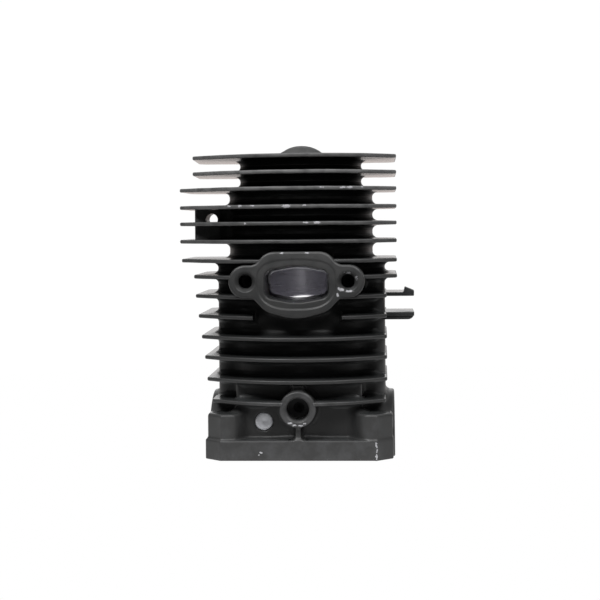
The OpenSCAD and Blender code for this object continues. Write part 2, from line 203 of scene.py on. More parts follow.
# Grid of each region's mesh
STEPS = {
    "crankcase_base": 0.33, "barrel_skirt": 0.4, "port_belt": 0.4, "upper_barrel": 0.4, "head": 0.3,
    "spark_plug_boss": 0.22, "exhaust_flange": 0.2, "intake_flange": 0.25, "impulse_boss": 0.16,
    "bracket_web": 0.2, "transfer_duct_left": 0.4, "transfer_duct_right": 0.4,
}
LINING_STEP = 0.3

# Places where the paint is knocked off: x, y, z, reach in x and reach in z
CHIPS = [
    (14.4, -28.8, 85.3, 1.5, 0.55), (17.0, -27.8, 85.3, 2.0, 0.65), (20.6, -25.7, 85.4, 1.4, 0.7),
    (8.2, -30.6, 85.4, 1.0, 0.45), (-3.1, -31.4, 79.6, 2.4, 1.1), (-13.8, -29.0, 79.8, 1.3, 0.55),
    (-17.8, -27.3, 79.8, 1.0, 0.5), (2.7, -31.4, 79.9, 0.9, 0.5), (-21.5, -25.0, 79.8, 0.9, 0.5),
    (3.2, -31.4, 74.4, 1.8, 0.5), (6.4, -31.0, 74.4, 2.2, 0.7), (-16.2, -27.8, 74.3, 1.0, 0.6),
    (24.4, -29.4, 5.0, 0.6, 1.7), (24.5, -29.4, 3.2, 0.45, 1.4), (24.5, -29.4, 1.5, 0.6, 1.5),
    (-11.6, -29.5, 2.6, 0.9, 0.5), (-12.3, -29.5, 1.9, 0.5, 0.5), (-2.5, -31.0, 12.0, 1.0, 0.7),
    (-1.0, -31.0, 11.4, 1.6, 0.6), (0.9, -31.0, 11.3, 1.5, 0.6), (2.2, -31.0, 11.9, 0.9, 0.6),
    (13.9, -32.5, 53.6, 1.9, 1.0), (16.1, -32.5, 58.6, 1.9, 0.7), (18.6, -32.5, 57.1, 0.7, 1.3),
    (16.5, -32.5, 53.1, 2.2, 0.6), (12.9, -32.5, 52.0, 0.6, 1.1), (-4.6, -32.5, 65.0, 1.0, 0.5),
    (3.2, -32.5, 65.1, 1.2, 0.5),
]

# Deep holes in the front, painted near black as painted shade: x, z, radius and how far from the axis the
# painted shade starts
PAINTED_SHADE_HOLES = [
    (-FLANGE_PITCH / 2, EXHAUST_Z, 2.5, EXHAUST_Y - 0.7),
    (FLANGE_PITCH / 2, EXHAUST_Z, 2.5, EXHAUST_Y - 0.7),
    (0.0, IMPULSE_Z, IMPULSE_R + 0.15, IMPULSE_FACE_Y - 0.6),
]


# ---------------------------------------------------------------- colours
PAINT = ((0.026, 0.0275, 0.028), (0.036, 0.0375, 0.038))
LOWER_FRONT_PAINT = (0.105, 0.105, 0.109)
BARE_CASTING = (0.42, 0.42, 0.44)
# near black painted shade inside the deep holes
HOLE_PAINTED_SHADE = (0.002, 0.0025, 0.0025)
LINING_METAL = ((0.66, 0.65, 0.70), (0.82, 0.81, 0.86))
PLUG_METAL = ((0.80, 0.81, 0.86), (0.93, 0.94, 0.98))
WHITE = (1.0, 1.0, 1.0)
WARM_WHITE = (1.0, 0.90, 0.86)

# Strengths of the surroundings' light, and the floor's radius
CEILING = 0.6
BACKDROP = 1.0
ROOM = 0.008
FLOOR_GLOW = 0.9
FLOOR_R = 300.0


# ---------------------------------------------------------------- signed distances
def circle(u, v, r):
    return np.hypot(u, v) - r


def rectangle(u, v, half_u, half_v, r=0.0):
    a = np.abs(u) - half_u + r
    b = np.abs(v) - half_v + r
    return np.hypot(np.maximum(a, 0), np.maximum(b, 0)) + np.minimum(np.maximum(a, b), 0) - r


def polygon(u, v, points):
    """Distance to a closed outline."""
    best = np.full(np.broadcast(u, v).shape, FAR * FAR)
    inside = np.zeros(best.shape, bool)
    for (au, av), (bu, bv) in zip(points, points[1:] + points[:1]):
        eu, ev = bu - au, bv - av
        pu, pv = u - au, v - av
        t = np.clip((pu * eu + pv * ev) / (eu * eu + ev * ev), 0, 1)
        best = np.minimum(best, (pu - t * eu) ** 2 + (pv - t * ev) ** 2)
        if av != bv:
            inside ^= ((av > v) != (bv > v)) & (u < eu * pv / ev + au)
    return np.where(inside, -1, 1) * np.sqrt(best)


def slab(w, low, high):
    return np.maximum(low - w, w - high)


def extrude(plan, w, low, high, edge=0.0):
    """An outline's distance made solid from low to high, with its edges rounded."""
    a = plan + edge
    b = slab(w, low, high) + edge
    return np.minimum(np.maximum(a, b), 0) + np.hypot(np.maximum(a, 0), np.maximum(b, 0)) - edge


def join(a, b, fillet=0.0):
    """Union, with a fillet in the corner between the two."""
    if not fillet:
        return np.minimum(a, b)
    u = np.maximum(fillet - a, 0)
    v = np.maximum(fillet - b, 0)
    return np.maximum(fillet, np.minimum(a, b)) - np.hypot(u, v)


def cut(a, b, edge=0.0):
    """Difference, with the new edge rounded."""
    return -join(-a, b, edge)


def common(a, b, edge=0.0):
    return -join(-a, -b, edge)


def threaded(u, v, w, r, pitch, amount):
    """A hole of mean radius r along w, with a thread in its wall."""
    turn = np.arctan2(v, u) / (2 * math.pi)
    wave = np.abs((w / pitch - turn) % 1.0 - 0.5) * 4 - 1
    return np.hypot(u, v) - r - amount * wave


# ---------------------------------------------------------------- outlines
def rounded(corners, steps=6):
    """A closed outline from corners given as (u, v, radius)."""
    points = []
    for k, (u, v, r) in enumerate(corners):
        b = np.array((u, v))
        if r == 0:
            points.append((u, v))
            continue
        to_last = np.array(corners[k - 1][:2]) - b
        to_next = np.array(corners[(k + 1) % len(corners)][:2]) - b
        to_last = to_last / np.linalg.norm(to_last)
        to_next = to_next / np.linalg.norm(to_next)
        half = math.acos(np.clip(to_last @ to_next, -1, 1)) / 2
        middle = to_last + to_next
        centre = b + middle / np.linalg.norm(middle) * r / math.sin(half)
        p = b + to_last * r / math.tan(half) - centre
        q = b + to_next * r / math.tan(half) - centre
        start = math.atan2(p[1], p[0])
        turn = math.atan2(p[0] * q[1] - p[1] * q[0], p @ q)
        for n in range(steps + 1):
            a = start + turn * n / steps
            points.append((centre[0] + r * math.cos(a), centre[1] + r * math.sin(a)))
    return points


def exhaust_outline():
    """Face of the exhaust flange between its ears, in x and height over the screws."""
    p, e = FLANGE_PITCH / 2, EAR_R
    return rounded([
        (p, e, 0), (12.8, e, 3.5), (9.6, 9.3, 5.5), (-9.6, 9.3, 5.5), (-12.8, e, 3.5), (-p, e, 0),
        (-p, -e, 0), (-13.6, -e, 2), (-9.6, -9.4, 7), (0, -12.1, 16),
        (9.6, -9.4, 7), (13.6, -e, 2), (p, -e, 0),
    ])


def bead_outline():
    """Edge of the shallow recess round the exhaust mouth."""
    points = []
    for a in np.linspace(0, 2 * math.pi, 44, endpoint=False):
        c, t = math.cos(a), math.sin(a)
        height, flat = BEAD_UPPER if t > 0 else BEAD_LOWER
        u = BEAD_HALF_X * math.copysign(abs(c) ** BEAD_SIDES, c)
        points.append((u, height * math.copysign(abs(t) ** flat, t)))
    return points


def intake_outline():
    p, e, h = FLANGE_PITCH / 2, EAR_R, 9.5
    return rounded([
        (p, e, 0), (12, e, 3), (8.5, h, 4), (-8.5, h, 4), (-12, e, 3), (-p, e, 0),
        (-p, -e, 0), (-12, -e, 3), (-8.5, -h, 4), (8.5, -h, 4), (12, -e, 3), (p, -e, 0),
    ])


def window_outline(w, low, high, arch=1.2):
    """A port window with its long sides arched, in x and z."""
    return rounded([
        (-w / 2, low + arch, 1.5), (0, low - arch * 0.4, w), (w / 2, low + arch, 1.5),
        (w / 2, high - arch, 1.5), (0, high + arch * 0.4, w), (-w / 2, high - arch, 1.5),
    ])


# ---------------------------------------------------------------- the casting as one field
def flange_body(x, z, outline, centre_z):
    body = polygon(x, z - centre_z, outline)
    return np.minimum(body, circle(np.abs(x) - FLANGE_PITCH / 2, z - centre_z, EAR_R))


def exhaust_body(x, y, z, edge=0.0):
    return extrude(flange_body(x, z, exhaust_outline(), EXHAUST_Z), y, -EXHAUST_Y, 0, edge)


def exhaust_recess(x, y, z):
    return np.maximum(polygon(x, z - EXHAUST_Z, bead_outline()), y + EXHAUST_Y - BEAD_DEPTH)


def intake_body(x, y, z, edge=0.0):
    return extrude(flange_body(x, z, intake_outline(), INTAKE_Z), y, 0, INTAKE_Y, edge)


def impulse_body(x, y, z, edge=0.0):
    return extrude(circle(x, z - IMPULSE_Z, IMPULSE_BOSS_R), y, -IMPULSE_FACE_Y, -NECK_Y + 2, edge)


def web_body(x, y, z, edge=0.0):
    half_x, half_y = (WEB_LEFT - WEB_ROOT) / 2, (WEB_Y[1] - WEB_Y[0]) / 2
    plan = rectangle(x + (WEB_LEFT + WEB_ROOT) / 2, y - sum(WEB_Y) / 2, half_x, half_y, 1.0)
    return extrude(plan, z, fin_middle(5) - WEB_BITE, fin_middle(3) + WEB_BITE, edge)


def plug_axis(x, y, z):
    """Distance from the plug's axis, and height along it over the seat."""
    out = (y - SEAT_Y) * math.cos(LEAN) - (z - SEAT_Z) * math.sin(LEAN)
    up = (y - SEAT_Y) * math.sin(LEAN) + (z - SEAT_Z) * math.cos(LEAN)
    return out, up


def plate_plan(x, y):
    ax, ay = np.abs(x), np.abs(y)
    chamfer = (ax + ay - (PLATE_X + PLATE_Y - PLATE_CHAMFER)) / math.sqrt(2)
    return np.maximum(np.maximum(ax - PLATE_X, ay - PLATE_Y), chamfer)


def base_metal(x, y, z):
    """Joint plate, bosses over the case screws, bearing housings and the crankcase neck."""
    plate = extrude(plate_plan(x, y), z, UNDER, PLATE_T, PLATE_EDGE)
    from_x, from_y = np.abs(x) - CASE_X, np.abs(y) - CASE_Y
    boss = circle(from_x, from_y, CASE_BOSS_R)
    boss = np.minimum(boss, rectangle(from_x - BOSS_ARM, from_y, BOSS_ARM, CASE_BOSS_R))
    boss = np.minimum(boss, rectangle(from_x - 4, from_y - BOSS_ARM, 4, BOSS_ARM))
    inset = plate_plan(x, y) + np.where(x < 0, *UPPER_INSET)
    bosses = extrude(common(boss, inset, 1.0), z, UNDER, CASE_BOSS_TOP, BOSS_EDGE)
    neck = extrude(rectangle(x, y, NECK_X + 0.4, NECK_Y, 1.2), z, UNDER, NECK_TOP)
    housings = extrude(circle(y, z, HOUSING_R), x, *HOUSING_X, HOUSING_EDGE)
    upper = np.maximum(join(neck, bosses, NECK_FILLET), inset)
    return join(join(upper, housings, HOUSING_FILLET), plate, PLATE_FILLET)


def lower_plan(x, y):
    middle, half_x = (DUCT_RIGHT - DUCT_LEFT) / 2, (DUCT_LEFT + DUCT_RIGHT) / 2
    duct = rectangle(x - middle, y, half_x, DUCT_Y, DUCT_CORNER_R)
    return join(circle(x, y, LOWER_R), duct, DUCT_FILLET)


def barrel_metal(x, y, z):
    under_fin = fin_middle(2) - FIN_T / 2
    lower = extrude(lower_plan(x, y), z, 4, belt_top())
    upper = extrude(circle(x, y, UPPER_R), z, belt_top() - 3, under_fin)
    top = fin_middle(0) + FIN_T / 2
    head = extrude(circle(x, y, HEAD_R), z, fin_middle(2) - 3, top, HEAD_EDGE)
    return join(join(lower, upper), head, HEAD_FILLET)


def plug_metal(x, y, z):
    out, up = plug_axis(x, y, z)
    from_axis = np.hypot(x, out)
    boss = extrude(from_axis - PLUG_BOSS_R, up, -16, -SEAT_RISE, 1.0)
    seat = extrude(from_axis - SEAT_R, up, -6, 0, 0.35)
    return join(boss, seat, SEAT_FILLET)


def rib(x, y, z, half, r, low, high):
    """A rib on the front wall, in the middle."""
    return extrude(rectangle(x, y + RIB_ROOT_Y, half, RIB_Y - RIB_ROOT_Y, r), z, low, high)


def fittings(x, y, z):
    """The flanges, the impulse boss with its ribs, and the bracket web."""
    exhaust = exhaust_body(x, y, z, FITTING_EDGE)
    intake = intake_body(x, y, z, FITTING_EDGE)
    impulse = impulse_body(x, y, z, FITTING_EDGE)
    lower_rib = rib(x, y, z, LOWER_RIB_HALF, 0.4, PLATE_T - 2, IMPULSE_Z)
    upper_rib = rib(x, y, z, UPPER_RIB_HALF, 0.8, IMPULSE_Z, NECK_TOP)
    impulse = join(join(impulse, lower_rib, 1.0), upper_rib, 1.2)
    return exhaust, intake, impulse, web_body(x, y, z)


def exhaust_void(x, y, z):
    """The passage, which narrows to the bare collar round the window."""
    window = polygon(x, z, window_outline(WINDOW_W, *WINDOW_Z))
    outward = np.clip((COLLAR_Y - y) / (EXHAUST_Y + COLLAR_Y), 0, 1)
    return np.maximum(window - COLLAR_T - 0.3 * outward, y)


def intake_void(x, y, z):
    window = polygon(x, z, window_outline(INTAKE_WINDOW_W, *INTAKE_WINDOW_Z))
    throat = extrude(circle(x, z - INTAKE_Z, THROAT_R), y, 26, FAR)
    return join(extrude(window, y, 0, 28), throat, 0.5)


def transfer_void(x, y, z):
    """Both transfer ducts, with a port low in the barrel and one high in it."""
    inner, outer, half_y = DUCT_VOID
    bottom = BORE_BOTTOM - 3
    duct = extrude(slab(np.abs(x), inner, outer), y, -half_y, half_y)
    ports = extrude(slab(np.abs(x), PORT_INNER_X, outer), y, -half_y, half_y)
    duct = np.maximum(duct, slab(z, bottom, TRANSFER_Z[1]))
    low = np.maximum(ports, slab(z, bottom, LOW_PORT_TOP))
    high = np.maximum(ports, slab(z, *TRANSFER_Z))
    return np.minimum(np.minimum(duct, low), high)


def bore_void(x, y, z):
    bore = extrude(circle(x, y, LINING_R), z, UNDER, BORE_TOP)
    rise = CHAMBER_TOP - BORE_TOP
    dome_r = (BORE_R**2 + rise**2) / (2 * rise)
    dome = np.sqrt(x * x + y * y + (z - CHAMBER_TOP + dome_r) ** 2) - dome_r
    return np.minimum(bore, np.maximum(dome, BORE_TOP - 0.5 - z))


def crankcase_void(x, y, z):
    """The crank chamber, the bearings' tunnel with a wider middle, and the case screws' holes."""
    chamber = extrude(circle(y, z, CRANK_R), x, -CRANK_X, CRANK_X, 1.0)
    tunnel = circle(y, z, BEARING_R)
    middle = (HOUSING_X[0] + BEARING_W, HOUSING_X[1] - BEARING_W)
    tunnel = np.minimum(tunnel, extrude(circle(y, z, BEARING_R + TUNNEL_RELIEF), x, *middle))
    screws = extrude(circle(np.abs(x) - CASE_X, np.abs(y) - CASE_Y, M5_R), z, UNDER, SCREW_DEPTH)
    return np.minimum(np.minimum(chamber, tunnel), screws)


def screw_voids(x, y, z):
    """The M5 threads of both flanges, with countersunk mouths."""
    u = np.abs(x) - FLANGE_PITCH / 2
    holes = []
    for centre_z, depth in ((EXHAUST_Z, y + EXHAUST_Y), (INTAKE_Z, INTAKE_Y - y)):
        thread = threaded(u, z - centre_z, depth, M5_R, M5_PITCH, 0.22)
        thread = np.maximum(thread, depth - SCREW_DEPTH)
        mouth = circle(u, z - centre_z, M5_R + 1.0) + depth
        holes.append(np.minimum(thread, np.maximum(mouth, depth - 2)))
    return np.minimum(*holes)


def small_voids(x, y, z):
    """The impulse hole, the pocket of the blanking plug and the hole in the bracket web."""
    floor = -IMPULSE_FLOOR_Y
    from_z = z - IMPULSE_Z
    impulse = extrude(circle(x, from_z, IMPULSE_R), y, -FAR, floor)
    lip = circle(x, from_z, IMPULSE_R + 0.6) + (y + IMPULSE_FACE_Y)
    drilling = extrude(circle(x, from_z, DRILLING_R), y, floor - 1, floor + 1)
    pocket = extrude(circle(x - BLANK_X, z - BLANK_Z, BLANK_R), y, -FAR, -BLANK_FLOOR_Y)
    hole_x, hole_z, hole_r = WEB_HOLE
    web = extrude(circle(x - hole_x, z - hole_z, hole_r), y, WEB_Y[0] - 6, WEB_Y[1] + 7)
    voids = np.minimum(np.minimum(impulse, np.maximum(lip, y + 28)), drilling)
    return np.minimum(np.minimum(voids, pocket), web)


def plug_void(x, y, z):
    """The plug's thread, a wider stretch under it and a bevelled mouth."""
    out, up = plug_axis(x, y, z)
    from_wall = np.hypot(x, out) - PLUG_R
    thread = np.maximum(threaded(x, out, up, PLUG_R, PLUG_PITCH, 0.4), -PLUG_REACH - up)
    relief = extrude(from_wall - 0.9, up, -PLUG_REACH - PLUG_RELIEF, -PLUG_REACH)
    mouth = np.maximum(from_wall - 0.8 - up, slab(up, -3, 1))
    return np.minimum(np.minimum(thread, relief), mouth)


def casting(x, y, z):
    """The whole casting without its fins."""
    out, up = plug_axis(x, y, z)
    clearance = extrude(np.hypot(x, out) - PLUG_CLEAR_R, up, -SEAT_RISE, FAR, 0.8)
    barrel = cut(barrel_metal(x, y, z), clearance, 0.5)
    barrel = join(barrel, plug_metal(x, y, z), PLUG_FILLET)
    body = join(base_metal(x, y, z), barrel, CAST_FILLET)
    for fitting in fittings(x, y, z):
        body = join(body, fitting, CAST_FILLET)
    body = cut(body, exhaust_recess(x, y, z), 0.4)
    body = cut(body, exhaust_void(x, y, z), 0.6)
    body = cut(body, intake_void(x, y, z), 0.5)
    body = cut(body, crankcase_void(x, y, z), 0.3)
    for void in (transfer_void, bore_void, screw_voids, small_voids, plug_void):
        body = cut(body, void(x, y, z))
    return np.maximum(body, -z)


# ---------------------------------------------------------------- meshes
def new_object(name, vertices, faces):
    """A smooth shaded object from vertices in millimetres."""
    mesh = bpy.data.meshes.new(name)
    mesh.from_pydata(np.asarray(vertices, float) * MM, [], faces)
    mesh.validate()
    mesh.shade_smooth()
    made = bpy.data.objects.new(name, mesh)
    bpy.context.scene.collection.objects.link(made)
    return made


def from_field(name, field, low, high, step):
    """An object round the part of a field that is below zero, inside the box from low to high."""
    axes = [np.arange(a - 2 * step, b + 2 * step + step, step) for a, b in zip(low, high)]
    x, y, z = np.meshgrid(*axes, indexing="ij", sparse=True)
    values = np.ascontiguousarray(np.broadcast_to(field(x, y, z), [len(a) for a in axes]), np.float32)
    values = np.clip(values, -3 * step, 3 * step)
    grid = openvdb.FloatGrid(background=3 * step)
    grid.copyFromArray(values)
    points, triangles, quads = grid.convertToPolygons(isovalue=0.0, adaptivity=0.0)
    points = points.astype(float) * step + np.array([a[0] for a in axes])
    return new_object(name, points, triangles[:, ::-1].tolist() + quads[:, ::-1].tolist())


def mark_edges(thing, amount):
    """Stores how worn each vertex is, from 0 to 1; the paint lightens these edges for wear and as a
    painted highlight.
    """
    mark = thing.data.attributes.new("edge", "FLOAT", "POINT")
    mark.data.foreach_set("value", amount.astype(np.float32))


def convexity(thing, field, depth=0.4):
    """How sharply the surface turns outwards at each vertex, from the field a little way inside."""
    count = len(thing.data.vertices)
    points, normals = np.empty(count * 3, np.float32), np.empty(count * 3, np.float32)
    thing.data.vertices.foreach_get("co", points)
    thing.data.vertex_normals.foreach_get("vector", normals)
    inner = points.reshape(-1, 3) / MM - depth * normals.reshape(-1, 3)
    level = np.abs(normals.reshape(-1, 3)[:, 2]) > 0.96
    return np.where(level, 0.0, np.clip((field(*inner.T) + depth) / depth * 1.4 - 0.15, 0, 1))


def prism(name, outline, low, high, place):
    """A closed prism. place turns (u, v, w) into (x, y, z)."""
    n = len(outline)
    vertices = [place(u, v, w) for w in (low, high) for u, v in outline]
    sides = [(k, (k + 1) % n, n + (k + 1) % n, n + k) for k in range(n)]
    made = new_object(name, vertices, sides + [tuple(range(n))[::-1], tuple(range(n, 2 * n))])
    made.data.shade_flat()
    return fix_normals(made)


def fix_normals(thing):
    work = bmesh.new()
    work.from_mesh(thing.data)
    bmesh.ops.recalc_face_normals(work, faces=work.faces)
    work.to_mesh(thing.data)
    work.free()
    return thing


def combine(thing, others, operation):
    """Cuts the other closed meshes from an object, or adds them to it, and removes them."""
    for other in others:
        step = thing.modifiers.new("combine", "BOOLEAN")
        step.object = other
        step.operation = operation
        step.solver = "MANIFOLD"
    bake(thing)
    for other in others:
        bpy.data.objects.remove(other)
    return thing


def bake(thing):
    """Applies an object's modifiers."""
    graph = bpy.context.evaluated_depsgraph_get()
    mesh = bpy.data.meshes.new_from_object(thing.evaluated_get(graph))
    thing.modifiers.clear()
    thing.data = mesh


def along_y(u, v, w):
    return (u, w, v)


def upright(u, v, w):
    return (u, v, w)


# ---------------------------------------------------------------- fins
def fin_node(i):
    return f"fin_{i + 1:02d}"


def fin_middle(i):
    """Height of the middle of fin i, without the lip under the tenth or the hook over the ninth."""
    low, high = corners_of(fin_node(i))
    return high[2] - FIN_T / 2 if i == 9 else low[2] + FIN_T / 2


def belt_top():
    return fin_middle(6) - FIN_T / 2


def fin_reach(i):
    """Reach of fin i to the left and to the right."""
    low, high = corners_of(fin_node(i))
    left = -low[0] - (TOP_FLARE if i < 2 else 0)
    return left, (TAB_FIN_REACH if i in (8, 9) else high[0])


def front_y(x):
    half = FRONT_BOW_R * math.sin(math.radians(45))
    if abs(x) < half:
        return FRONT_BOW_R - FRONT_REACH - math.sqrt(FRONT_BOW_R**2 - x * x)
    return FRONT_BOW_R - FRONT_REACH - half + abs(x) - half


def rear_y(x):
    bulge = REAR_REACH - REAR_SHOULDER_Y
    r = (BULGE_HALF_X**2 + bulge**2) / (2 * bulge)
    return REAR_REACH - r + math.sqrt(r * r - x * x) if abs(x) < BULGE_HALF_X else REAR_SHOULDER_Y


def fin_plan(i):
    left, right = fin_reach(i)
    rear_left = -left - (TOP_FLARE if i < 2 else 0)
    front = [(x, front_y(x), 0) for x in np.linspace(-24, 24, 25)]
    rear = [(x, rear_y(x), 0) for x in np.linspace(24, -24, 25)]
    right_end = [(right, front_y(right), 1.6), (right, REAR_SHOULDER_Y, 3.5)]
    left_end = [(rear_left, REAR_SHOULDER_Y, 3.5)]
    return rounded([(-left, front_y(left), 1.6)] + front + right_end + rear + left_end)


def resampled(points, gap):
    """The closed outline with more points where its stretches are longer than gap."""
    out = []
    for (ax, ay), (bx, by) in zip(points, points[1:] + points[:1]):
        n = max(1, math.ceil(math.hypot(bx - ax, by - ay) / gap))
        out += [(ax + (bx - ax) * k / n, ay + (by - ay) * k / n) for k in range(n)]
    return np.array(out)


def core_reach(gap, angle):
    """How far the wall in the gap over fin number gap is from the bore axis, in each direction."""
    if gap < 3:
        return np.full(len(angle), HEAD_R)
    if gap < 7:
        return np.full(len(angle), UPPER_R)
    low, high = np.full(len(angle), 15.0), np.full(len(angle), 45.0)
    for _ in range(20):
        reach = (low + high) / 2
        x, y = reach * np.cos(angle), reach * np.sin(angle)
        wall = lower_plan(x, y)
        if gap > 12:
            wall = np.minimum(wall, rectangle(x, y, NECK_X, NECK_Y, 1.0))
        low, high = np.where(wall < 0, reach, low), np.where(wall < 0, high, reach)
    return reach


def fin_side(reach, wall, root_half, fillet_r):
    """Rings of one side of a fin, from inside the wall to its edge: reach, height and wear, which also
    places the painted edge highlight.
    """
    core = np.minimum(wall - 0.08, reach - 0.6)
    fillet = np.minimum(fillet_r, 0.45 * (reach - core))
    level = np.ones(len(reach))
    rings = [(core - 1.3, root_half + fillet, 0.0)]
    for t in (0, 0.1, 0.25, 0.5, 0.75):
        rise = 1 - math.sqrt(1 - (1 - t) ** 2)
        rings.append((core + t * fillet, root_half + fillet * rise, 0.0))
    rings.append((core + fillet, root_half * level, 0.0))
    rings.append((np.maximum(reach - 1.2, core + fillet), (TIP_HALF + 0.02) * level, 0.0))
    for a in (0, 25, 50, 75, 90):
        s, c = math.sin(math.radians(a)), math.cos(math.radians(a))
        rings.append((reach - TIP_R * (1 - s), (TIP_HALF - TIP_R * (1 - c)) * level, 1.0))
    return rings


def fin_loft(i):
    """One fin as a closed ring, with a root fillet, a slight taper and a rounded edge on each side."""
    outline = resampled(fin_plan(i), 1.0)
    angle = np.arctan2(outline[:, 1], outline[:, 0])
    reach = np.hypot(*outline.T)
    under = fin_side(reach, core_reach(i + 1, angle), ROOT_HALF, FILLET)
    top_root = (TIP_HALF, 0.02) if i == 0 else (ROOT_HALF, FILLET)  # the first fin is flat on top
    over = fin_side(reach, core_reach(i, angle), *top_root)
    profile = [(r, -h, e) for r, h, e in under] + over[::-1]
    middle = fin_middle(i)
    n = len(outline)
    wave = np.array([WAVE * noise.noise((x * 0.15, y * 0.15, middle)) for x, y in outline])
    vertices, edge = [], []
    for r, h, e in profile:
        vertices.append(np.stack([r * np.cos(angle), r * np.sin(angle), middle + h + wave], 1))
        edge.append(np.full(n, e))
    faces = []
    for a, b in ((m * n, (m + 1) % len(profile) * n) for m in range(len(profile))):
        faces += [(a + k, a + (k + 1) % n, b + (k + 1) % n, b + k) for k in range(n)]
    made = fix_normals(new_object(f"{fin_node(i)}_cast", np.concatenate(vertices), faces))
    mark_edges(made, np.concatenate(edge))
    return made


def ring(r, n=64):
    return [(r * math.cos(2 * math.pi * k / n), r * math.sin(2 * math.pi * k / n)) for k in range(n)]


def shrunk(points, amount):
    """The outline moved inwards, each point along its own normal."""
    p = np.array(points)
    along = np.roll(p, -1, 0) - np.roll(p, 1, 0)
    along /= np.linalg.norm(along, axis=1)[:, None]
    turn = 1 if np.sum(np.cross(p, np.roll(p, -1, 0))) > 0 else -1
    return [tuple(q) for q in p + turn * amount * np.stack([-along[:, 1], along[:, 0]], 1)]


def flange_cutters(outline, centre_z, low, high):
    body = [(u, v + centre_z) for u, v in shrunk(outline, 0.5)]
    cutters = [prism("cutter", body, low, high, along_y)]
    for side in (-1, 1):
        ear = [(u + side * FLANGE_PITCH / 2, v + centre_z) for u, v in ring(EAR_R - 0.5)]
        cutters.append(prism("cutter", ear, low, high, along_y))
    return cutters


def on_plug_axis(u, v, w):
    c, t = math.cos(LEAN), math.sin(LEAN)
    return (u, SEAT_Y + v * c + w * t, SEAT_Z - v * t + w * c)


def fin_cutters(i):
    """What is taken out of fin i."""
    cutters = []
    through = (fin_middle(i) - 3, fin_middle(i) + 3, upright)
    if i < 3:
        cutters.append(prism("cutter", ring(PLUG_CLEAR_R + 0.2), -SEAT_RISE, FAR, on_plug_axis))
        cutters.append(prism("cutter", ring(PLUG_BOSS_R - 0.6), -14, FAR, on_plug_axis))
    if i == 4:
        x, z, r = WEB_HOLE
        hole = [(x + u, z + v) for u, v in ring(r)]
        cutters.append(prism("cutter", hole, WEB_Y[0] - 0.5, WEB_Y[1] + 0.5, along_y))
        left, right = x - SCREW_SLOT_X, x + SCREW_SLOT_X
        slot = [(left, WEB_Y[1]), (right, WEB_Y[1]), (right, FAR), (left, FAR)]
        cutters.append(prism("cutter", slot, *through))
    if 5 < i < 10:
        cutters += flange_cutters(exhaust_outline(), EXHAUST_Z, -FAR, -LOWER_R + 4)
    if 7 < i < 12:
        cutters += flange_cutters(intake_outline(), INTAKE_Z, LOWER_R - 4, FAR)
    if i == 9:
        side = rounded([
            (NOTCH_X, -20, 0), (NOTCH_X, -FRONT_REACH + 0.9, 1.6),
            (NOTCH_X + 3.5, -FRONT_REACH - 2, 0),
        ])
        plan = [(-u, v) for u, v in side[::-1]] + side
        cutters.append(prism("cutter", plan, *through))
    if i > 11:
        boss = [(u, IMPULSE_Z + v) for u, v in ring(IMPULSE_BOSS_R - 0.5)]
        cutters.append(prism("cutter", boss, -FAR, -NECK_Y, along_y))
    return cutters


def fin_tab(i):
    """The tab at the right end of the ninth and tenth fins: a hook on one, a thick lip on the other."""
    low, high = fin_middle(i) - FIN_T / 2, fin_middle(i) + FIN_T / 2
    start, end = fin_reach(i)[1] - 6, TAB_REACH
    floor = [(start, low), (end, low), (end, high), (start, high)]
    tab = prism("tab", floor, -TAB_Y, TAB_Y, along_y)
    if i == 8:
        hook = [(end - 3.6, low), (end, low), (end, high + TAB_HOOK / 3), (end - 3.0, high + TAB_HOOK)]
        extra = prism("tab", hook, -TAB_Y, -TAB_Y + 3, along_y)
    else:
        bottom = high - TAB_LIP
        lip = rounded([(start + 5, high, 0), (start + 5, bottom, 0), (end, bottom, 2.0), (end, high, 0)])
        extra = prism("tab", lip, -TAB_Y + 0.5, -TAB_Y + 2.5, along_y)
    combine(tab, [extra], "UNION")
    soften(tab, 0.3)
    return tab


def soften(thing, width):
    step = thing.modifiers.new("edges", "BEVEL")
    step.width = width * MM
    step.segments = 3
    step.limit_method = "ANGLE"
    step.angle_limit = math.radians(30)
    step.use_clamp_overlap = True
    bake(thing)


def make_fin(i):
    fin = fin_loft(i)
    if i in (8, 9):
        combine(fin, [fin_tab(i)], "UNION")
    cutters = fin_cutters(i)
    if cutters:
        combine(fin, cutters, "DIFFERENCE")
    fin.data.shade_smooth()
    fin.data.set_sharp_from_angle(angle=math.radians(40))
    return fin


# ---------------------------------------------------------------- casting regions
def beyond_barrel(x, y, r=LOWER_R):
    return r - OVERLAP - np.hypot(x, y)


def impulse_region(x, y, z):
    front = circle(x, z - IMPULSE_Z, IMPULSE_BOSS_R + SKIRT)
    front = np.minimum(front, rectangle(x, z - 15, 3.4, 10))
    heights = slab(z, PLATE_T - OVERLAP, NECK_TOP + OVERLAP)
    return np.maximum(np.maximum(front, y + NECK_Y - OVERLAP), heights)


def plug_region(x, y, z):
    out, up = plug_axis(x, y, z)
    return np.maximum(np.hypot(x, out) - PLUG_BOSS_R - 1.3, slab(up, -16, FAR))


def duct_region(x, y, z):
    beside = np.maximum(beyond_barrel(x, y), np.abs(y) - DUCT_Y - 1.5)
    return np.maximum(beside, slab(z, BORE_BOTTOM - OVERLAP, belt_top()))


def barrel_region(x, y, z, low, high):
    return np.maximum(np.hypot(x, y) - LOWER_R - 1.0, slab(z, low - OVERLAP, high))


